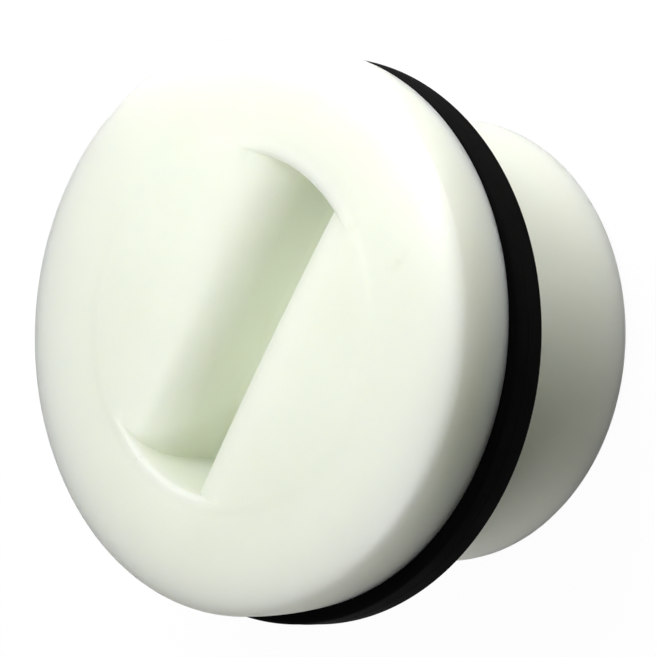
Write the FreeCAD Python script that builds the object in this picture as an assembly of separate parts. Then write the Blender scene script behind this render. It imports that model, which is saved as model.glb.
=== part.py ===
import FreeCAD, Part
import math
import os

# Boat drain plug: a round slotted head on a hollow shank, moulded as one piece, and a rubber seal ring
# that sits in the neck under the head.
# Millimetres. +Z runs along the plug's axis, head up, and the shank's open end stands on z = 0.
# The coin slot runs along X.

Vector = FreeCAD.Vector
UP = Vector(0, 0, 1)
ALONG_Y = Vector(0, 1, 0)
AXIS_BASE = Vector(0, 0, 0)

# Head
head_diameter = 31.5
head_side_taper = 0.35
head_widest_above_back = 3.9
head_edge_round = 1.0
crown_rise = 0.5

# Shank
shank_diameter = 25.2
shank_length = 14.1
shank_end_chamfer = 0.6

# Neck that keeps the seal ring under the head
neck_depth = 0.6

# Hollow core of the shank
shank_wall = 2.6
core_mouth_chamfer = 0.4
web_under_slot = 2.2

# Coin slot in the head
slot_width = 3.0
slot_depth = 6.8
slot_end_radius = 9.75
slot_floor_round = 1.3
slot_shoulder_round = 2.9
slot_end_round = 1.4

# Seal ring
ring_thickness = 2.6
ring_outer_chamfer = 0.3
ring_inner_chamfer = 0.7

# Clearances
ring_bore_slack = 0.55
ring_edge_setback = 0.05
ring_side_clearance = 0.1
ring_hang = 0.5
ring_hang_direction_deg = 214.0
cutter_overshoot = 2.0
tangent_cut_tolerance = 0.0001

# Sizes that follow
head_radius = head_diameter / 2
head_back_radius = head_radius - head_side_taper
shank_radius = shank_diameter / 2
neck_radius = shank_radius - neck_depth
core_radius = shank_radius - shank_wall
ring_radius = head_radius - ring_edge_setback
ring_bore_radius = neck_radius + ring_bore_slack
neck_height = ring_thickness + ring_side_clearance
underside_z = shank_length
neck_bottom_z = underside_z - neck_height
widest_z = underside_z + head_widest_above_back

# The crown is one shallow sphere. Its edge circle is inside it and tangent to it, so the crown's own rise
# is measured over the circle through the centre of that edge round.
edge_centre_radius = head_radius - head_edge_round
crown_radius = (edge_centre_radius ** 2 + crown_rise ** 2) / (2 * crown_rise)
crown_centre_z = widest_z - math.sqrt((crown_radius - head_edge_round) ** 2 - edge_centre_radius ** 2)
crown_top_z = crown_centre_z + crown_radius
slot_floor_z = crown_top_z - slot_depth
core_ceiling_z = slot_floor_z - web_under_slot


def at(radius, z):
    """A point of the half section, which lies in the plane y = 0."""
    return Vector(radius, 0, z)


def round_corner(before, corner, after, radius):
    """Where the arc that rounds one corner starts and ends, and the arc itself."""
    back = (before - corner).normalize()
    ahead = (after - corner).normalize()
    half_angle = back.getAngle(ahead) / 2
    reach = radius / math.tan(half_angle)
    centre = corner + (back + ahead).normalize() * (radius / math.sin(half_angle))
    middle = centre + (corner - centre).normalize() * radius
    start = corner + back * reach
    end = corner + ahead * reach
    return start, end, Part.Arc(start, middle, end)


def chamfer_corner(before, corner, after, width):
    """Where the flat that cuts one corner off starts and ends, and the flat itself."""
    start = corner + (before - corner).normalize() * width
    end = corner + (after - corner).normalize() * width
    return start, end, Part.LineSegment(start, end)


def path_through(corners):
    """Straight runs through the corners, each of them given as (point, how it is shaped, size)."""
    points = [point for point, shaping, size in corners]
    edges = []
    run_start = points[0]
    for index, (point, shaping, size) in enumerate(corners[1:-1], start=1):
        run_end = next_start = point
        if shaping:
            run_end, next_start, cut = shaping(points[index - 1], point, points[index + 1], size)
        edges.append(Part.LineSegment(run_start, run_end).toShape())
        if shaping:
            edges.append(cut.toShape())
        run_start = next_start
    edges.append(Part.LineSegment(run_start, points[-1]).toShape())
    return edges


def turned(edges):
    """The solid that a closed half section makes when it turns about the plug's axis."""
    return Part.Face(Part.Wire(edges)).revolve(AXIS_BASE, UP, 360)


def plug_section():
    """Half section of the moulding, from the crown's middle round the outside and back up the core."""
    crown_centre = at(0, crown_centre_z)
    edge_centre = at(edge_centre_radius, widest_z)
    outward = (edge_centre - crown_centre).normalize()
    crown_end = edge_centre + outward * head_edge_round
    crown_half_angle = math.atan2(outward.x, outward.z) / 2
    crown_middle = crown_centre + at(math.sin(crown_half_angle), math.cos(crown_half_angle)) * crown_radius

    # The side runs from the back corner up to where it is tangent to the edge round.
    back_corner = at(head_back_radius, underside_z)
    to_back = back_corner - edge_centre
    turn = math.acos(head_edge_round / to_back.Length)
    side_angle = math.atan2(to_back.z, to_back.x) + turn
    side_start = edge_centre + at(math.cos(side_angle), math.sin(side_angle)) * head_edge_round
    middle_angle = (math.atan2(outward.z, outward.x) + side_angle) / 2
    edge_middle = edge_centre + at(math.cos(middle_angle), math.sin(middle_angle)) * head_edge_round

    below_the_crown = [
        (side_start, None, 0),
        (back_corner, None, 0),
        (at(neck_radius, underside_z), None, 0),
        (at(neck_radius, neck_bottom_z), None, 0),
        (at(shank_radius, neck_bottom_z), None, 0),
        (at(shank_radius, 0), chamfer_corner, shank_end_chamfer),
        (at(core_radius, 0), chamfer_corner, core_mouth_chamfer),
        (at(core_radius, core_ceiling_z), None, 0),
        (at(0, core_ceiling_z), None, 0),
        (at(0, crown_top_z), None, 0),
    ]
    return [
        Part.Arc(at(0, crown_top_z), crown_middle, crown_end).toShape(),
        Part.Arc(crown_end, edge_middle, side_start).toShape(),
        *path_through(below_the_crown),
    ]


def lip(wall, across, radius):
    """The foot, arc and top of the round from an upright wall out to the crown, and a point above the top."""
    centre_across = wall + radius
    centre_height = math.sqrt((crown_radius - radius) ** 2 - centre_across ** 2)
    centre = across * centre_across + UP * (crown_centre_z + centre_height)
    outward = (across * centre_across + UP * centre_height).normalize()
    middle = centre + (outward - across).normalize() * radius
    top = centre + outward * radius
    foot = centre - across * radius
    return foot, Part.Arc(foot, middle, top), top, top + outward * cutter_overshoot


def slot_ends():
    """The solid that holds the slot: a cylinder whose wall rounds outwards into the crown."""
    foot, lip_arc, lip_top, above = lip(slot_end_radius - slot_end_round, Vector(1, 0, 0), slot_end_round)
    below_z = slot_floor_z - cutter_overshoot
    corners = [at(foot.x, below_z), at(0, below_z), at(0, above.z), above, lip_top]
    sides = [Part.LineSegment(start, end).toShape() for start, end in zip([foot, *corners], corners)]
    return turned([*sides, lip_arc.toShape()])


def slot_cutter():
    """The coin slot: a trough with rounded shoulders that follows the crown, with both ends on one circle."""
    shoulder_low, shoulder_arc, shoulder_top, above = lip(slot_width / 2, ALONG_Y, slot_shoulder_round)
    floor_corner = Vector(0, slot_width / 2, slot_floor_z)
    floor_middle = Vector(0, 0, slot_floor_z)
    shoulder_foot = [shoulder_low, floor_corner, floor_middle]
    wall_end, floor_start, floor_arc = round_corner(*shoulder_foot, slot_floor_round)
    half = Part.Wire([
        Part.LineSegment(Vector(0, 0, above.z), above).toShape(),
        Part.LineSegment(above, shoulder_top).toShape(),
        shoulder_arc.toShape(),
        Part.LineSegment(shoulder_low, wall_end).toShape(),
        floor_arc.toShape(),
        Part.LineSegment(floor_start, floor_middle).toShape(),
    ])
    other_half = half.mirror(AXIS_BASE, ALONG_Y)
    section = Part.Face(Part.Wire([*half.Edges, *reversed(other_half.Edges)]))

    # The trough bends with the crown, so its shoulders stay tangent to the face along their whole length.
    half_turn = math.degrees((slot_end_radius + cutter_overshoot) / crown_radius)
    crown_axis_base = Vector(0, 0, crown_centre_z)
    section.rotate(crown_axis_base, ALONG_Y, -half_turn)
    trough = section.revolve(crown_axis_base, ALONG_Y, 2 * half_turn)
    return trough.common([slot_ends()], tangent_cut_tolerance)


def make_plug_body():
    """Head and shank in one moulding, with the hollow core and the coin slot."""
    return turned(plug_section()).cut([slot_cutter()], tangent_cut_tolerance)


def make_seal_ring():
    """Flat rubber ring against the head's underside, hanging off centre by its slack on the neck."""
    low = underside_z - ring_thickness
    top_inner_edge = at(ring_bore_radius, underside_z)
    section = [
        (top_inner_edge, None, 0),
        (at(ring_radius, underside_z), chamfer_corner, ring_outer_chamfer),
        (at(ring_radius, low), chamfer_corner, ring_outer_chamfer),
        (at(ring_bore_radius, low), chamfer_corner, ring_inner_chamfer),
        (top_inner_edge, None, 0),
    ]
    ring = turned(path_through(section))
    hang_angle = math.radians(ring_hang_direction_deg)
    ring.translate(Vector(math.cos(hang_angle), math.sin(hang_angle), 0) * ring_hang)
    return ring


def as_solid(shape):
    """The shape's one solid."""
    if len(shape.Solids) != 1 or not shape.isValid():
        raise ValueError("a piece is not one valid solid")
    return shape.Solids[0]


def main():
    os.makedirs("parts", exist_ok=True)
    nodes = {
        "plug_body": make_plug_body,
        "seal_ring": make_seal_ring,
    }
    for name, make in nodes.items():
        as_solid(make()).exportStep(f"parts/{name}.step")


main()
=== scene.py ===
"""Boat drain plug: a satin white moulded plug with a coin slot, and its black rubber seal ring.

Metres, in the part's own frame: +Z is the plug's axis, head up, the slot runs along X, and the shank's end
stands on z = 0.
"""
import math

import bmesh
import bpy
from mathutils import Matrix, Vector


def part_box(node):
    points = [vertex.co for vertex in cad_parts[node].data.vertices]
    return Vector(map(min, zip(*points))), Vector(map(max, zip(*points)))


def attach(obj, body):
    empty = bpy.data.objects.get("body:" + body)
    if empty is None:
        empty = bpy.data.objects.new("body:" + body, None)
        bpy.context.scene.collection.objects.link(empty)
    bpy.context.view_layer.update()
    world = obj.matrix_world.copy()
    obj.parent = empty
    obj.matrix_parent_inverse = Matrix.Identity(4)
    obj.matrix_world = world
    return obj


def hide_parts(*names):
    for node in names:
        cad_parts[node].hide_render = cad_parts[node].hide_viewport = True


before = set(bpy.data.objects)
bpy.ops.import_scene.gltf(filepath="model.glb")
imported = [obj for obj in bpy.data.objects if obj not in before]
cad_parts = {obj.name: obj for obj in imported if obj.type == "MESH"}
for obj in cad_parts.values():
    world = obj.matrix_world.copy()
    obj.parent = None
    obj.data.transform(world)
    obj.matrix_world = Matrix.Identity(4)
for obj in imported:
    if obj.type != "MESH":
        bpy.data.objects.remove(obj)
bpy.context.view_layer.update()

bl_info = {
    "name": "Boat Drain Plug",
    "version": (1, 0, 0),
    "blender": (4, 5, 0),
    "location": "3D View > Sidebar > Drain Plug",
    "description": "Builds a slotted plastic boat drain plug with its rubber seal ring, on a white studio floor",
    "category": "Object",
}

MM = 0.001
BODY_LOW, BODY_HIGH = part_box("plug_body")
RING_LOW, RING_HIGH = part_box("seal_ring")
HEAD_DIAMETER = BODY_HIGH.x - BODY_LOW.x
RING_DIAMETER = (RING_HIGH.x - RING_LOW.x + RING_HIGH.y - RING_LOW.y) / 2
MERGE_DISTANCE = 0.0002 * MM
GRID_STEPS_PER_METRE = 1e7
SHARP_ANGLE = math.radians(35)
ON_AXIS = 1e-9


def length(name, description, default):
    """A size in metres."""
    return bpy.props.FloatProperty(name=name, description=description, default=default, unit="LENGTH", precision=5)


def amount(name, description, default):
    """A share or a strength with no unit."""
    return bpy.props.FloatProperty(name=name, description=description, default=default, min=0.0)


def count(name, description, default):
    """A whole number of steps."""
    return bpy.props.IntProperty(name=name, description=description, default=default, min=1)


def angle(name, description, degrees):
    """An angle, given here in degrees."""
    return bpy.props.FloatProperty(
        name=name, description=description, default=math.radians(degrees), subtype="ANGLE"
    )


def colour(name, description, default):
    """A linear colour."""
    return bpy.props.FloatVectorProperty(
        name=name, description=description, default=default, size=3, min=0.0, max=1.0, subtype="COLOR"
    )


def face_parts(name, description, default):
    """A place or direction in metres: along the face's right and up in the picture, and along the plug's axis."""
    return bpy.props.FloatVectorProperty(name=name, description=description, default=default, size=3, precision=4)


class MouldingSizes(bpy.types.PropertyGroup):
    """Sizes of the moulded head and shank."""

    head_diameter: length("Head diameter", "Across the widest circle of the head", HEAD_DIAMETER)
    head_back_diameter: length("Head back diameter", "Across the head where it meets the ring", 30.8 * MM)
    widest_above_back: length("Widest circle", "Height of the widest circle above the head's underside", 3.9 * MM)
    edge_width: length("Edge width", "How far in from the rim the face starts to bend down", 3.5 * MM)
    back_round: length("Back round", "Radius at the head's back edge", 0.1 * MM)
    crown_height: length("Crown height", "Height of the face's middle above the widest circle", 1.5023 * MM)
    crown_radius: length("Crown radius", "Radius of the shallow sphere that the face is part of", 217.81 * MM)
    insert_radius: length("Insert line radius", "Circle left on the face by the mould's insert", 10.1 * MM)
    insert_step: length("Insert line step", "Height of the step that the insert leaves", 0.03 * MM)
    insert_step_width: length("Insert line width", "Width of the step that the insert leaves", 0.08 * MM)
    shank_diameter: length("Shank diameter", "Across the plain shank", 25.2 * MM)
    shank_length: length("Shank length", "From the head's underside to the shank's end", 14.1 * MM)
    shank_end_round: length("Shank end round", "Radius at the outer edge of the shank's end", 0.6 * MM)
    neck_depth: length("Neck depth", "How far the neck is set in from the shank", 0.6 * MM)
    neck_height: length("Neck height", "Height of the neck that holds the ring", 2.7 * MM)
    small_round: length("Small round", "Radius of the neck's and the core's small edges", 0.2 * MM)
    wall: length("Shank wall", "Thickness of the shank's wall at its end", 2.6 * MM)
    core_height: length("Core height", "From the shank's end to the core's ceiling", 10.5 * MM)
    core_draft: angle("Core draft", "Slope of the core's wall", 0.3)
    core_round: length("Core round", "Radius where the core's wall meets its ceiling", 1.1 * MM)
    gate_radius: length("Gate radius", "Radius of the trimmed gate in the core", 1.3 * MM)
    gate_height: length("Gate height", "How far the trimmed gate stands proud", 0.25 * MM)
    gate_taper: amount("Gate taper", "Width of the gate's end as a share of its foot", 0.96)


class SlotSizes(bpy.types.PropertyGroup):
    """Sizes of the coin slot."""

    width: length("Slot width", "Between the slot's two walls", 3.3 * MM)
    depth: length("Slot depth", "From the crown's middle to the slot's floor", 6.8 * MM)
    end_radius: length("End radius", "Circle that both ends of the slot lie on", 9.75 * MM)
    floor_round: length("Floor round", "Radius along the slot's floor", 1.3 * MM)
    shoulder_round: length("Shoulder round", "Radius between the walls and the face", 3.1 * MM)
    end_round: length("End round", "Radius between the slot's end walls and the face", 0.3 * MM)


class RingSizes(bpy.types.PropertyGroup):
    """Sizes of the rubber seal ring."""

    diameter: length("Ring diameter", "Across the ring", RING_DIAMETER)
    bore_slack: length("Bore slack", "Room between the ring's bore and the neck", 0.55 * MM)
    outer_round: length("Outer round", "Radius at the ring's outer edges", 0.35 * MM)
    inner_round: length("Inner round", "Radius at the ring's inner edges", 0.7 * MM)
    flash_height: length("Flash height", "How far the mould line stands proud of the rim", 0.015 * MM)
    flash_width: length("Flash width", "Width of the mould line round the rim", 0.12 * MM)
    flash_foot_round: length("Flash foot round", "Radius where the mould line meets the rim", 0.01 * MM)
    flash_top_round: length("Flash top round", "Radius along the mould line's top", 0.005 * MM)


class FinishSettings(bpy.types.PropertyGroup):
    """Colours and surface of the plastic and the rubber."""

    plastic_colour: colour("Plastic", "Main colour of the moulding", (0.83, 0.87, 0.765))
    plastic_shade: colour("Plastic shade", "Slightly warmer colour of the flow marks", (0.81, 0.845, 0.735))
    handled_colour: colour("Handled edges", "Colour where edges are rubbed", (0.72, 0.73, 0.62))
    plastic_wear: amount("Plastic wear", "Share of the handled colour on rubbed edges", 0.35)
    speck_colour: colour("Specks", "Colour of the few specks of dust", (0.25, 0.22, 0.17))
    plastic_roughness: amount("Plastic roughness", "Roughness of the satin plastic", 0.42)
    light_reach: length("Light reach", "How far light spreads inside the translucent plastic", 4.5 * MM)
    rubber_colour: colour("Rubber", "Main colour of the ring", (0.0015, 0.0015, 0.0015))
    rubber_bloom: colour("Rubber bloom", "Greyer colour of the rubber's dry patches", (0.003, 0.003, 0.003))
    rubbed_rubber: colour("Rubbed rubber", "Colour of the ring where its edges are rubbed", (0.006, 0.006, 0.0055))
    rubber_wear: amount("Rubber wear", "Share of the rubbed colour on rubbed edges", 0.5)
    rubber_roughness: amount("Rubber roughness", "Roughness of the rubber", 0.75)


class StageSettings(bpy.types.PropertyGroup):
    """Camera, lamps and floor."""

    picture_size: count("Picture size", "Width and height of the picture in pixels", 657)
    head_centre_x: amount("Head centre across", "Where the head's middle lies in the picture, in pixels", 243.6)
    head_centre_y: amount("Head centre down", "Where the head's middle lies in the picture, in pixels", 326.5)
    head_radius_px: amount("Head radius", "Radius of the head in the picture, in pixels", 289.8)
    tilt: angle("Tilt", "Angle between the plug's axis and the line of sight", 41.3)
    slot_turn: angle("Slot turn", "Angle of the slot from the picture's horizontal, on the face", 61.9)
    roll: angle("Roll", "How far the shank points below the picture's horizontal", 3.9)
    distance: amount("Distance", "Distance of the camera, in head radii", 16.0)
    key_power: amount("Key lamp", "Power of the softbox at the top of the picture, in watts", 0.31)
    key_place: face_parts("Key lamp place", "From the head's middle", (0.035, 0.12, -0.02))
    face_power: amount("Face lamp", "Power of the small softbox over the face, in watts", 0.069)
    face_place: face_parts("Face lamp place", "From the head's middle", (0.00559, 0.04935, 0.075))
    slot_power: amount("Slot lamp", "Power of the small softbox that shines into the slot, in watts", 0.125)
    slot_place: face_parts("Slot lamp place", "From the head's middle", (0.01465, -0.12118, 0.15))
    sky_way: face_parts("Sky direction", "Where the sky is brightest", (0.0, 1.0, 0.9))
    sky_high: amount("Sky above", "Strength of the sky's light from the top of the picture", 0.3)
    sky_low: amount("Sky below", "Strength of the sky's light from the foot of the picture", 0.01)
    floor_shade: amount("Floor shade", "Grey of the floor as the lamps see it", 0.05)
    floor_glow: amount("Floor glow", "Own light of the floor in the picture", 0.96)
    light_below: amount("Light below", "Strength of the light under the floor, for views from underneath", 0.5)


class SurfaceBuilder:
    """Collects points and faces. Points that coincide are one vertex, and a face that folds flat is left out."""

    def __init__(self):
        self.points = []
        self.faces = []
        self.known = {}

    def point(self, x, y, z):
        """The number of the point at this place."""
        key = tuple(round(value * GRID_STEPS_PER_METRE) for value in (x, y, z))
        if key not in self.known:
            self.known[key] = len(self.points)
            self.points.append((x, y, z))
        return self.known[key]

    def face(self, *corners):
        """A face through points given by number."""
        loop = []
        for corner in corners:
            if corner not in loop:
                loop.append(corner)
        if len(loop) > 2:
            self.faces.append(loop)

    def strip(self, first, second):
        """Quads between two rows of as many points."""
        for index in range(len(first) - 1):
            self.face(first[index], first[index + 1], second[index + 1], second[index])

    def make(self, name, material):
        """The finished object, with smooth faces and sharp edges where the surface turns quickly."""
        mesh = bpy.data.meshes.new(name)
        mesh.from_pydata(self.points, [], self.faces)
        work = bmesh.new()
        work.from_mesh(mesh)
        bmesh.ops.remove_doubles(work, verts=work.verts, dist=MERGE_DISTANCE)
        bmesh.ops.recalc_face_normals(work, faces=work.faces)
        open_edges = sum(not edge.is_manifold for edge in work.edges)
        if open_edges:
            raise ValueError(f"{name} has {open_edges} open edges")
        work.to_mesh(mesh)
        work.free()
        mesh.shade_smooth()
        mesh.set_sharp_from_angle(angle=SHARP_ANGLE)
        mesh.materials.append(material)
        piece = bpy.data.objects.new(name, mesh)
        bpy.context.scene.collection.objects.link(piece)
        weighted = piece.modifiers.new("Even shading", "WEIGHTED_NORMAL")
        weighted.keep_sharp = True
        weighted.weight = 80
        return piece


def arc(centre, radius, start, end, steps):
    """Points (r, z) along an arc. Its angles are counted from the outward direction."""
    points = []
    for step in range(steps + 1):
        turn = start + (end - start) * step / steps
        points.append((centre[0] + radius * math.cos(turn), centre[1] + radius * math.sin(turn)))
    return points


def rounded(points, rounds, steps=5):
    """A run of (r, z) points with each inner corner rounded by its own radius."""
    path = [points[0]]
    for index, radius in enumerate(rounds, start=1):
        corner = Vector(points[index])
        back = (Vector(points[index - 1]) - corner).normalized()
        ahead = (Vector(points[index + 1]) - corner).normalized()
        half = back.angle(ahead) / 2
        centre = corner + (back + ahead).normalized() * (radius / math.sin(half))
        first = corner + back * (radius / math.tan(half)) - centre
        last = corner + ahead * (radius / math.tan(half)) - centre
        start = math.atan2(first.y, first.x)
        sweep = math.atan2(first.x * last.y - first.y * last.x, first.dot(last))
        path += arc(centre, radius, start, start + sweep, steps)
    path.append(points[-1])
    return path


def soft_bend(start, corner, end, steps):
    """Points (r, z) of a curve that leaves its start towards the corner and reaches its end from the corner."""
    start, corner, end = Vector(start), Vector(corner), Vector(end)
    shares = [step / steps for step in range(steps + 1)]
    return [tuple(start * (1 - t) ** 2 + corner * 2 * t * (1 - t) + end * t ** 2) for t in shares]


class Crown:
    """The head's shallow spherical face, and the soft edge that takes it down to the side."""

    def __init__(self, sizes):
        self.head_radius = sizes.head_diameter / 2
        self.widest_z = sizes.shank_length + sizes.widest_above_back
        self.radius = sizes.crown_radius
        self.centre_z = self.widest_z + sizes.crown_height - self.radius
        self.end_radius = self.head_radius - sizes.edge_width
        self.step_radius = sizes.insert_radius
        self.step = sizes.insert_step
        self.step_width = sizes.insert_step_width

    def height(self, radius):
        """Height of the face at a distance from the axis, with the faint step outside the insert's circle."""
        z = self.centre_z + math.sqrt(self.radius ** 2 - radius ** 2)
        if radius > self.step_radius:
            z -= self.step * (self.end_radius - radius) / (self.end_radius - self.step_radius)
        return z

    def outline(self, back_corner):
        """Points (r, z) from the end of the face over the widest circle and down the side, short of the back."""
        end_z = self.height(self.end_radius)
        slope = self.end_radius / (end_z - self.centre_z)
        edge_corner = (self.head_radius, end_z - slope * (self.head_radius - self.end_radius))
        widest = (self.head_radius, self.widest_z)
        side_corner = Vector((self.head_radius, (self.widest_z + back_corner[1]) / 2))
        foot_share = 0.15
        side_foot = Vector(back_corner).lerp(side_corner, foot_share)
        edge = soft_bend((self.end_radius, end_z), edge_corner, widest, steps=24)
        return edge + soft_bend(widest, side_corner, side_foot, steps=10)[1:]


def slot_section(crown, slot, steps=10):
    """Half of the slot's section as (y, distance from the crown's centre), from the floor's middle outwards.

    Also gives the index of the wall's lowest point. The next point is the wall's top.
    """
    half_width = slot.width / 2
    floor = crown.radius - slot.depth
    shoulder_y = half_width + slot.shoulder_round
    shoulder = math.sqrt((crown.radius - slot.shoulder_round) ** 2 - shoulder_y ** 2)
    tangent = math.pi / 2 + math.atan2(shoulder_y, shoulder)
    section = [(0.0, floor)]
    section += arc(
        (half_width - slot.floor_round, floor + slot.floor_round), slot.floor_round, -math.pi / 2, 0.0, steps
    )
    wall_low = len(section) - 1
    section += arc((shoulder_y, shoulder), slot.shoulder_round, math.pi, math.pi - tangent, 2 * steps)
    return section, wall_low


class SlotEnd:
    """The slot's upright end wall and the round that takes it out to the crown, both on circles about the axis."""

    def __init__(self, crown, slot):
        self.round = slot.end_round
        self.middle_radius = slot.end_radius
        self.middle_distance = crown.radius - self.round
        self.middle_z = crown.centre_z + math.sqrt(self.middle_distance ** 2 - self.middle_radius ** 2)
        self.top_turn = math.acos(self.middle_radius / self.middle_distance)
        self.top_radius = crown.radius * math.cos(self.top_turn)

    def turn(self, y, distance):
        """Where a line along the slot meets the round, as an angle about the round's middle. On the wall it is pi."""
        square = distance ** 2 + y ** 2 - self.middle_distance ** 2 - self.round ** 2
        bend = square / (2 * self.round * self.middle_distance)
        return min(self.top_turn + math.acos(min(max(bend, -1.0), 1.0)), math.pi)

    def reach(self, y, turn):
        """How far along X such a line runs before it meets the end."""
        radius = self.middle_radius + self.round * math.cos(turn)
        return math.sqrt(max(radius ** 2 - y ** 2, 0.0))

    def lip(self, turn, steps):
        """Points (r, z) up the round to the crown."""
        return arc((self.middle_radius, self.middle_z), self.round, turn, self.top_turn, steps)


def add_slotted_face(build, crown, slot):
    """The coin slot, and the face inside the circle on which the slot ends.

    Gives the direction of each point of that circle from the axis, and the points, with the first again at the end.
    """
    face_steps = 44
    across_steps = 20
    lip_steps = 10
    end = SlotEnd(crown, slot)
    half, wall_low = slot_section(crown, slot)
    last_angle = math.asin(half[-1][0] / end.top_radius)
    mid_level = half[wall_low + 1][1]
    for step in range(1, face_steps + 1):
        turn = last_angle + (math.pi / 2 - last_angle) * step / face_steps
        y = end.top_radius * math.sin(turn)
        half.append((y, math.sqrt(crown.radius ** 2 - y ** 2)))
    columns = [(-y, distance, index) for index, (y, distance) in enumerate(half)][:0:-1]
    columns += [(y, distance, index) for index, (y, distance) in enumerate(half)]

    def level(distance, x):
        return crown.centre_z + math.sqrt(distance ** 2 - x ** 2)

    previous = None
    for y, distance, index in columns:
        far = end.reach(y, end.turn(y, distance))
        places = [far * (2 * step / across_steps - 1) for step in range(across_steps + 1)]
        row = [build.point(x, y, level(distance, x)) for x in places]
        if previous:
            build.strip(previous, row)
        previous = row

    rim = []
    for side in (1, -1):
        low_row, mid_row, lip_rows = [], [], [[] for step in range(lip_steps + 1)]
        for y, distance, index in columns[::side]:
            turn = end.turn(y, distance)
            far = end.reach(y, turn)
            mid_distance = mid_level if index <= wall_low else distance
            low_row.append(build.point(side * far, y, level(distance, far)))
            mid_row.append(build.point(side * far, y, level(mid_distance, far)))
            bearing = math.atan2(y, far)
            direction = (side * math.cos(bearing), math.sin(bearing))
            for row, (r, z) in zip(lip_rows, end.lip(turn, lip_steps)):
                row.append(build.point(r * direction[0], r * direction[1], z))
            if not rim or rim[-1][1] != row[-1]:
                rim.append((direction, row[-1]))
        build.strip(low_row, mid_row)
        build.strip(mid_row, lip_rows[0])
        for first, second in zip(lip_rows, lip_rows[1:]):
            build.strip(first, second)

    around = [direction for direction, point in rim]
    ring = [point for direction, point in rim]
    return around, ring + ring[:1]


def turned_profile(crown, sizes):
    """Points (r, z) of all that is round: the rest of the face, the edge, neck and shank, and up the core."""
    step_end = crown.step_radius + crown.step_width
    plain_steps = 6
    plain = [step_end + (crown.end_radius - step_end) * step / plain_steps for step in range(1, plain_steps)]
    profile = [(r, crown.height(r)) for r in (crown.step_radius, step_end, *plain)]
    back_r = sizes.head_back_diameter / 2
    back_z = sizes.shank_length
    profile += crown.outline((back_r, back_z))
    shank_r = sizes.shank_diameter / 2
    neck_r = shank_r - sizes.neck_depth
    neck_z = back_z - sizes.neck_height
    core_r = shank_r - sizes.wall
    core_top_r = core_r - sizes.core_height * math.tan(sizes.core_draft)
    gate_z = sizes.core_height - sizes.gate_height
    neck_round = sizes.small_round
    mouth_round = 2 * sizes.small_round
    gate_round = 0.3 * sizes.small_round
    profile += rounded(
        [
            profile[-1],
            (back_r, back_z),
            (neck_r, back_z),
            (neck_r, neck_z),
            (shank_r, neck_z),
            (shank_r, 0.0),
            (core_r, 0.0),
            (core_top_r, sizes.core_height),
            (sizes.gate_radius, sizes.core_height),
            (sizes.gate_radius * sizes.gate_taper, gate_z),
            (0.0, gate_z),
        ],
        [
            sizes.back_round,
            neck_round,
            neck_round,
            neck_round,
            sizes.shank_end_round,
            mouth_round,
            sizes.core_round,
            gate_round,
            gate_round,
        ],
    )[1:]
    return profile


def make_moulding(sizes, slot, material):
    """The head with its coin slot, the neck, the shank and the hollow core, as one closed surface."""
    crown = Crown(sizes)
    build = SurfaceBuilder()
    around, ring = add_slotted_face(build, crown, slot)
    for r, z in turned_profile(crown, sizes):
        if r < ON_AXIS:
            following = [build.point(0.0, 0.0, z)] * len(ring)
        else:
            following = [build.point(r * x, r * y, z) for x, y in around]
            following.append(following[0])
        build.strip(ring, following)
        ring = following
    return build.make("plug_moulding", material)


def make_ring(sizes, moulding, material):
    """The rubber ring with rounded edges and the fine mould line round its rim."""
    outer = sizes.diameter / 2
    bore = moulding.shank_diameter / 2 - moulding.neck_depth + sizes.bore_slack
    centre = (RING_LOW + RING_HIGH) / 2
    low, high = RING_LOW.z, RING_HIGH.z
    middle_z = (low + high) / 2
    half_flash = sizes.flash_width / 2
    rim = outer - sizes.flash_height
    section = rounded(
        [
            ((bore + outer) / 2, high),
            (rim, high),
            (rim, middle_z + half_flash),
            (outer, middle_z),
            (rim, middle_z - half_flash),
            (rim, low),
            (bore, low),
            (bore, high),
            ((bore + outer) / 2, high),
        ],
        [
            sizes.outer_round,
            sizes.flash_foot_round,
            sizes.flash_top_round,
            sizes.flash_foot_round,
            sizes.outer_round,
            sizes.inner_round,
            sizes.inner_round,
        ],
        steps=7,
    )
    build = SurfaceBuilder()
    around_steps = 288
    previous = None
    for step in range(around_steps + 1):
        turn = 2 * math.pi * (step % around_steps) / around_steps
        row = [
            build.point(centre.x + r * math.cos(turn), centre.y + r * math.sin(turn), z) for r, z in section
        ]
        if previous:
            build.strip(previous, row)
        previous = row
    return build.make("rubber_ring", material)


def new_group(name, inputs, outputs):
    """An empty shader node group with float inputs (name, default) and float outputs."""
    group = bpy.data.node_groups.new(name, "ShaderNodeTree")
    for label, default in inputs:
        socket = group.interface.new_socket(name=label, in_out="INPUT", socket_type="NodeSocketFloat")
        socket.default_value = default
    for label in outputs:
        group.interface.new_socket(name=label, in_out="OUTPUT", socket_type="NodeSocketFloat")
    return group, group.nodes.new("NodeGroupInput"), group.nodes.new("NodeGroupOutput")


def noise(tree, scale, detail, roughness=0.5):
    """A noise texture over the object's own coordinates; scale is per metre, as a number or a socket."""
    coordinates = tree.nodes.new("ShaderNodeTexCoord")
    texture = tree.nodes.new("ShaderNodeTexNoise")
    texture.inputs["Detail"].default_value = detail
    texture.inputs["Roughness"].default_value = roughness
    tree.links.new(coordinates.outputs["Object"], texture.inputs["Vector"])
    if isinstance(scale, bpy.types.NodeSocket):
        tree.links.new(scale, texture.inputs["Scale"])
    else:
        texture.inputs["Scale"].default_value = scale
    return texture.outputs["Fac"]


def maths(tree, operation, *values):
    """The result of one sum with numbers and sockets."""
    node = tree.nodes.new("ShaderNodeMath")
    node.operation = operation
    for socket, value in zip(node.inputs, values):
        if isinstance(value, bpy.types.NodeSocket):
            tree.links.new(value, socket)
        else:
            socket.default_value = value
    return node.outputs[0]


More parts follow.
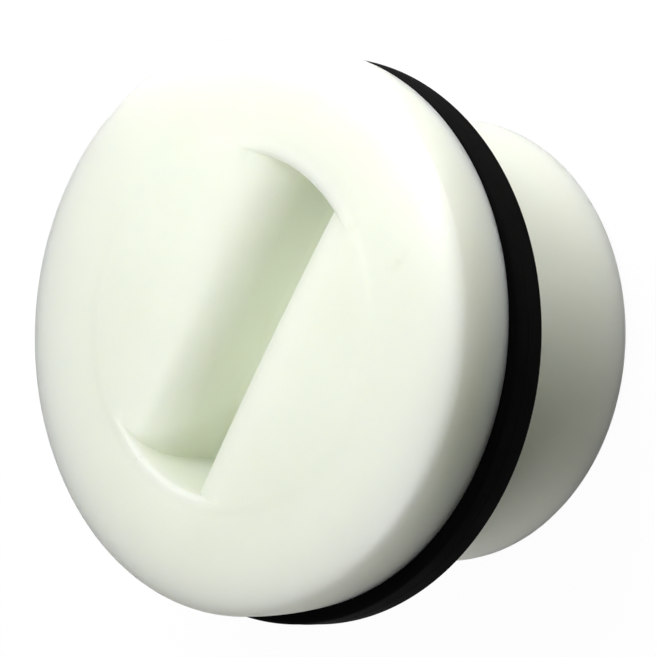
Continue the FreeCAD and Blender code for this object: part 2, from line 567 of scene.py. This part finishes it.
def spread(tree, value, low, high, to_low=0.0, to_high=1.0):
    """Stretches a value's range from low..high to the given range, and clamps it."""
    node = tree.nodes.new("ShaderNodeMapRange")
    tree.links.new(value, node.inputs["Value"])
    for label, number in (("From Min", low), ("From Max", high), ("To Min", to_low), ("To Max", to_high)):
        node.inputs[label].default_value = number
    return node.outputs["Result"]


def mixed(tree, share, first, second):
    """A colour between two colours, each a colour or a socket."""
    node = tree.nodes.new("ShaderNodeMix")
    node.data_type = "RGBA"
    tree.links.new(share, node.inputs["Factor"])
    for label, value in (("A", first), ("B", second)):
        socket = next(s for s in node.inputs if s.name == label and s.type == "RGBA")
        if isinstance(value, bpy.types.NodeSocket):
            tree.links.new(value, socket)
        else:
            socket.default_value = (*value, 1.0)
    return next(s for s in node.outputs if s.type == "RGBA")


def grain_group():
    """Fine grain of a moulded surface: a height for the bump and a slow variation for the colour."""
    group, entry, out = new_group("Moulded grain", [("Scale", 2500.0), ("Waviness", 0.3)], ["Height", "Variation"])
    fine = noise(group, entry.outputs["Scale"], detail=3.0, roughness=0.6)
    slow_share = 0.05
    slow = noise(group, maths(group, "MULTIPLY", entry.outputs["Scale"], slow_share), detail=2.0)
    waves = maths(group, "MULTIPLY", slow, entry.outputs["Waviness"])
    group.links.new(maths(group, "ADD", fine, waves), out.inputs["Height"])
    group.links.new(spread(group, slow, low=0.35, high=0.65), out.inputs["Variation"])
    return group


def handling_group():
    """Marks of handling: rubbed edges, a few specks, and hair scratches."""
    inputs = [("Edge Width", 0.06), ("Speck Share", 0.02), ("Scratch Scale", 300.0)]
    group, entry, out = new_group("Handling marks", inputs, ["Rubbed", "Specks", "Scratches"])
    geometry = group.nodes.new("ShaderNodeNewGeometry")
    flat_pointiness = 0.5
    edge = maths(group, "SUBTRACT", geometry.outputs["Pointiness"], flat_pointiness)
    rubbed = maths(group, "DIVIDE", edge, entry.outputs["Edge Width"])
    broken = spread(group, noise(group, scale=700.0, detail=4.0, roughness=0.7), low=0.35, high=0.7)
    patches = maths(group, "MULTIPLY", rubbed, broken)
    group.links.new(spread(group, patches, low=0.0, high=1.0), out.inputs["Rubbed"])

    coordinates = group.nodes.new("ShaderNodeTexCoord")
    cells_per_metre = 330.0
    cells = group.nodes.new("ShaderNodeTexVoronoi")
    cells.inputs["Scale"].default_value = cells_per_metre
    group.links.new(coordinates.outputs["Object"], cells.inputs["Vector"])
    chance = group.nodes.new("ShaderNodeSeparateColor")
    group.links.new(cells.outputs["Color"], chance.inputs["Color"])
    chosen = maths(group, "LESS_THAN", chance.outputs["Red"], entry.outputs["Speck Share"])
    near = spread(group, cells.outputs["Distance"], low=0.03, high=0.05, to_low=1.0, to_high=0.0)
    group.links.new(maths(group, "MULTIPLY", chosen, near), out.inputs["Specks"])

    scratch_turn = math.radians(28)
    scratch_stretch = 14.0
    stretch = group.nodes.new("ShaderNodeMapping")
    stretch.inputs["Rotation"].default_value = (0.0, 0.0, scratch_turn)
    stretch.inputs["Scale"].default_value = (1.0, scratch_stretch, 1.0)
    group.links.new(coordinates.outputs["Object"], stretch.inputs["Vector"])
    lines = group.nodes.new("ShaderNodeTexNoise")
    lines.inputs["Detail"].default_value = 1.0
    group.links.new(entry.outputs["Scratch Scale"], lines.inputs["Scale"])
    group.links.new(stretch.outputs["Vector"], lines.inputs["Vector"])
    group.links.new(spread(group, lines.outputs["Fac"], low=0.69, high=0.74), out.inputs["Scratches"])
    return group


def shared_group(name):
    """One of the shared effects, made the first time that a material asks for it."""
    makers = {"Moulded grain": grain_group, "Handling marks": handling_group}
    return bpy.data.node_groups.get(name) or makers[name]()


def place_group(tree, name, **values):
    """A shared effect in a material, with the material's own values."""
    node = tree.nodes.new("ShaderNodeGroup")
    node.node_tree = shared_group(name)
    for label, value in values.items():
        node.inputs[label.replace("_", " ")].default_value = value
    return node.outputs


def new_material(name):
    """An empty node material with its one shader."""
    material = bpy.data.materials.new(name)
    material.use_nodes = True
    return material, material.node_tree, material.node_tree.nodes["Principled BSDF"]


def bump(tree, height, strength, distance):
    """A bump normal from a height."""
    node = tree.nodes.new("ShaderNodeBump")
    node.inputs["Strength"].default_value = strength
    node.inputs["Distance"].default_value = distance
    tree.links.new(height, node.inputs["Height"])
    return node.outputs["Normal"]


def plastic_material(finish):
    """Satin white plastic, slightly translucent, with faint flow marks, specks and rubbed edges."""
    material, tree, shader = new_material("Satin white plastic")
    grain = place_group(tree, "Moulded grain", Scale=2600.0, Waviness=0.6)
    marks = place_group(tree, "Handling marks", Edge_Width=0.09, Speck_Share=0.02, Scratch_Scale=260.0)
    base = mixed(tree, grain["Variation"], tuple(finish.plastic_colour), tuple(finish.plastic_shade))
    wear = maths(tree, "MULTIPLY", marks["Rubbed"], finish.plastic_wear)
    worn = mixed(tree, wear, base, tuple(finish.handled_colour))
    specked = mixed(tree, marks["Specks"], worn, tuple(finish.speck_colour))
    tree.links.new(specked, shader.inputs["Base Color"])
    grain_roughness = 0.06
    scratch_roughness = 0.12
    rough = maths(tree, "MULTIPLY_ADD", grain["Variation"], grain_roughness, finish.plastic_roughness)
    scuffed = maths(tree, "MULTIPLY_ADD", marks["Scratches"], scratch_roughness, rough)
    tree.links.new(scuffed, shader.inputs["Roughness"])
    scratch_depth = 0.6
    height = maths(tree, "SUBTRACT", grain["Height"], maths(tree, "MULTIPLY", marks["Scratches"], scratch_depth))
    tree.links.new(bump(tree, height, strength=0.25, distance=0.012 * MM), shader.inputs["Normal"])
    shader.inputs["IOR"].default_value = 1.5
    shader.inputs["Subsurface Weight"].default_value = 1.0
    shader.inputs["Subsurface Radius"].default_value = (1.0, 0.95, 0.85)
    shader.inputs["Subsurface Scale"].default_value = finish.light_reach
    return material


def rubber_material(finish):
    """Matt black rubber with a fine grain and dry patches."""
    material, tree, shader = new_material("Black seal rubber")
    grain = place_group(tree, "Moulded grain", Scale=5200.0, Waviness=0.25)
    marks = place_group(tree, "Handling marks", Edge_Width=0.12)
    base = mixed(tree, grain["Variation"], tuple(finish.rubber_colour), tuple(finish.rubber_bloom))
    wear = maths(tree, "MULTIPLY", marks["Rubbed"], finish.rubber_wear)
    tree.links.new(mixed(tree, wear, base, tuple(finish.rubbed_rubber)), shader.inputs["Base Color"])
    grain_roughness = 0.1
    rough = maths(tree, "MULTIPLY_ADD", grain["Variation"], grain_roughness, finish.rubber_roughness)
    tree.links.new(rough, shader.inputs["Roughness"])
    tree.links.new(bump(tree, grain["Height"], strength=0.35, distance=0.015 * MM), shader.inputs["Normal"])
    shader.inputs["IOR"].default_value = 1.45
    shader.inputs["Specular IOR Level"].default_value = 0.03
    return material


def floor_material(stage):
    """White in the picture and in reflections, and dark to the lamps, so that it keeps a soft shadow.

    It can be seen through from below.
    """
    material, tree, shader = new_material("Studio floor")
    paths = tree.nodes.new("ShaderNodeLightPath")
    seen = maths(tree, "MAXIMUM", paths.outputs["Is Camera Ray"], paths.outputs["Is Glossy Ray"])
    seen = maths(tree, "MAXIMUM", seen, paths.outputs["Is Transmission Ray"])
    shader.inputs["Base Color"].default_value = (*[stage.floor_shade] * 3, 1.0)
    shader.inputs["Roughness"].default_value = 1.0
    shader.inputs["Specular IOR Level"].default_value = 0.0
    shader.inputs["Emission Color"].default_value = (1.0, 1.0, 1.0, 1.0)
    tree.links.new(maths(tree, "MULTIPLY", seen, stage.floor_glow), shader.inputs["Emission Strength"])
    side = tree.nodes.new("ShaderNodeNewGeometry")
    tree.links.new(maths(tree, "SUBTRACT", 1.0, side.outputs["Backfacing"]), shader.inputs["Alpha"])
    return material


class Picture:
    """The photograph's directions and camera, worked out from where the head's widest circle lies in it."""

    def __init__(self, stage, sizes):
        up_axis = Vector((0.0, 0.0, 1.0))
        turn = stage.slot_turn
        self.radius = sizes.head_diameter / 2
        self.head = Vector((0.0, 0.0, sizes.shank_length + sizes.widest_above_back))
        self.in_plane_right = Vector((math.cos(turn), -math.sin(turn), 0.0))
        self.in_plane_up = Vector((math.sin(turn), math.cos(turn), 0.0))
        self.towards = math.cos(stage.tilt) * up_axis + math.sin(stage.tilt) * self.in_plane_right
        level = math.cos(stage.tilt) * self.in_plane_right - math.sin(stage.tilt) * up_axis
        self.right = math.cos(stage.roll) * level + math.sin(stage.roll) * self.in_plane_up
        self.up = math.cos(stage.roll) * self.in_plane_up - math.sin(stage.roll) * level

    def camera_place(self, stage):
        """Where the camera stands so that the head's middle falls on its pixel."""
        middle = stage.picture_size / 2
        across = (stage.head_centre_x - middle) / stage.head_radius_px * self.radius
        above = (middle - stage.head_centre_y) / stage.head_radius_px * self.radius
        return self.head + self.towards * stage.distance * self.radius - self.right * across - self.up * above

    def along_face(self, parts):
        """A direction given by its parts along the face's right, the face's up and the plug's axis."""
        right, up, axis = parts
        return right * self.in_plane_right + up * self.in_plane_up + Vector((0.0, 0.0, axis))


def place_looking(thing, place, right, up, towards):
    """Puts an object at a place with its local X, Y and Z along three directions."""
    turned = Matrix((right, up, towards)).transposed().to_4x4()
    thing.matrix_world = Matrix.Translation(place) @ turned


def add_softbox(name, place, aim, power, width, height, tint=(1.0, 1.0, 1.0)):
    """A rectangular lamp that faces a point."""
    lamp = bpy.data.lights.new(name, "AREA")
    lamp.shape = "RECTANGLE"
    lamp.size = width
    lamp.size_y = height
    lamp.energy = power
    lamp.color = tint
    thing = bpy.data.objects.new(name, lamp)
    bpy.context.scene.collection.objects.link(thing)
    thing.location = place
    thing.rotation_mode = "QUATERNION"
    thing.rotation_quaternion = (aim - place).to_track_quat("-Z", "Y")


def add_lamps(stage, picture):
    """The three softboxes, all turned towards the head's middle. Their widths and heights are in metres."""
    key_place = picture.head + picture.along_face(stage.key_place)
    warm_white = (1.0, 1.0, 0.97)
    add_softbox("Key softbox", key_place, picture.head, stage.key_power, width=0.12, height=0.05, tint=warm_white)
    face_place = picture.head + picture.along_face(stage.face_place)
    add_softbox("Face softbox", face_place, picture.head, stage.face_power, width=0.05, height=0.05)
    slot_place = picture.head + picture.along_face(stage.slot_place)
    add_softbox("Slot softbox", slot_place, picture.head, stage.slot_power, width=0.06, height=0.06)


def make_floor(stage):
    """The floor just below the shank's end, so that the two surfaces don't meet.

    A hole in it, hidden under the shank's rim, lets light from below into the open core.
    """
    hole_radius = 11.2 * MM
    edge_radius = 2.0
    gap = 0.02 * MM
    steps = 96
    turns = [2 * math.pi * step / steps for step in range(steps)]
    points = [
        (radius * math.cos(turn), radius * math.sin(turn), -gap)
        for radius in (hole_radius, edge_radius)
        for turn in turns
    ]
    nexts = [(step + 1) % steps for step in range(steps)]
    quads = [(step, steps + step, steps + following, following) for step, following in enumerate(nexts)]
    mesh = bpy.data.meshes.new("studio_floor")
    mesh.from_pydata(points, [], quads)
    mesh.materials.append(floor_material(stage))
    floor = bpy.data.objects.new("studio_floor", mesh)
    bpy.context.scene.collection.objects.link(floor)
    return floor


def make_world(stage, picture):
    """White behind everything, with a sky that is brightest towards the picture's top, and light under the floor."""
    world = bpy.data.worlds.new("Studio light")
    world.use_nodes = True
    tree = world.node_tree
    paths = tree.nodes.new("ShaderNodeLightPath")
    seen = maths(tree, "MAXIMUM", paths.outputs["Is Camera Ray"], paths.outputs["Is Transmission Ray"])
    directions = tree.nodes.new("ShaderNodeTexCoord").outputs["Generated"]
    upward = tree.nodes.new("ShaderNodeVectorMath")
    upward.operation = "DOT_PRODUCT"
    upward.inputs[1].default_value = picture.along_face(stage.sky_way).normalized()
    tree.links.new(directions, upward.inputs[0])
    sky = spread(tree, upward.outputs["Value"], low=-0.3, high=1.0, to_low=stage.sky_low, to_high=stage.sky_high)
    height = tree.nodes.new("ShaderNodeSeparateXYZ")
    tree.links.new(directions, height.inputs[0])
    below = spread(tree, height.outputs["Z"], low=-0.05, high=-0.3, to_high=stage.light_below)
    background = tree.nodes["Background"]
    background.inputs["Color"].default_value = (1.0, 1.0, 1.0, 1.0)
    glow = maths(tree, "ADD", sky, below)
    tree.links.new(maths(tree, "MAXIMUM", seen, glow), background.inputs["Strength"])
    return world


def make_camera(stage, picture):
    """A camera that shows the plug where the photograph has it."""
    lens = bpy.data.cameras.new("Photograph camera")
    lens.sensor_width = 36.0
    lens.lens = lens.sensor_width * stage.head_radius_px * stage.distance / stage.picture_size
    lens.clip_start = 0.01
    lens.clip_end = 20.0
    camera = bpy.data.objects.new("Photograph camera", lens)
    bpy.context.scene.collection.objects.link(camera)
    place_looking(camera, picture.camera_place(stage), picture.right, picture.up, picture.towards)
    return camera


class DRAINPLUG_OT_moulding(bpy.types.Operator):
    """Build the white head and shank with the coin slot"""

    bl_idname = "drainplug.moulding"
    bl_label = "Plug Moulding"

    def execute(self, context):
        scene = context.scene
        piece = make_moulding(scene.plug_moulding_sizes, scene.plug_slot_sizes, plastic_material(scene.plug_finish))
        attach(piece, "root")
        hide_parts("plug_body")
        return {"FINISHED"}


class DRAINPLUG_OT_seal_ring(bpy.types.Operator):
    """Build the black rubber ring under the head"""

    bl_idname = "drainplug.seal_ring"
    bl_label = "Seal Ring"

    def execute(self, context):
        scene = context.scene
        piece = make_ring(scene.plug_ring_sizes, scene.plug_moulding_sizes, rubber_material(scene.plug_finish))
        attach(piece, "root")
        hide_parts("seal_ring")
        return {"FINISHED"}


class DRAINPLUG_OT_stage(bpy.types.Operator):
    """Build the floor, the lamps and the camera"""

    bl_idname = "drainplug.stage"
    bl_label = "Studio"

    def execute(self, context):
        scene = context.scene
        stage = scene.plug_stage
        picture = Picture(stage, scene.plug_moulding_sizes)
        floor = make_floor(stage)
        add_lamps(stage, picture)
        scene.world = make_world(stage, picture)
        scene.camera = make_camera(stage, picture)
        scene.view_settings.view_transform = "Standard"
        return {"FINISHED"}


class DRAINPLUG_PT_sidebar(bpy.types.Panel):
    """Lists the plug's pieces and sizes."""

    bl_idname = "DRAINPLUG_PT_sidebar"
    bl_label = "Boat Drain Plug"
    bl_space_type = "VIEW_3D"
    bl_region_type = "UI"
    bl_category = "Drain Plug"

    def draw(self, context):
        column = self.layout.column()
        for operator in OPERATORS:
            column.operator(operator.bl_idname)
        for attribute, group in SETTINGS.items():
            column.label(text=group.__doc__)
            settings = getattr(context.scene, attribute)
            for name in group.__annotations__:
                column.prop(settings, name)


SETTINGS = {
    "plug_moulding_sizes": MouldingSizes,
    "plug_slot_sizes": SlotSizes,
    "plug_ring_sizes": RingSizes,
    "plug_finish": FinishSettings,
    "plug_stage": StageSettings,
}
OPERATORS = (DRAINPLUG_OT_moulding, DRAINPLUG_OT_seal_ring, DRAINPLUG_OT_stage)


def register():
    for group in SETTINGS.values():
        bpy.utils.register_class(group)
    for attribute, group in SETTINGS.items():
        setattr(bpy.types.Scene, attribute, bpy.props.PointerProperty(type=group))
    for operator in OPERATORS:
        bpy.utils.register_class(operator)
    bpy.utils.register_class(DRAINPLUG_PT_sidebar)


def unregister():
    bpy.utils.unregister_class(DRAINPLUG_PT_sidebar)
    for operator in reversed(OPERATORS):
        bpy.utils.unregister_class(operator)
    for attribute in SETTINGS:
        delattr(bpy.types.Scene, attribute)
    for group in reversed(SETTINGS.values()):
        bpy.utils.unregister_class(group)


def main():
    register()
    bpy.ops.drainplug.moulding()
    bpy.ops.drainplug.seal_ring()
    bpy.ops.drainplug.stage()


if __name__ == "__main__":
    main()
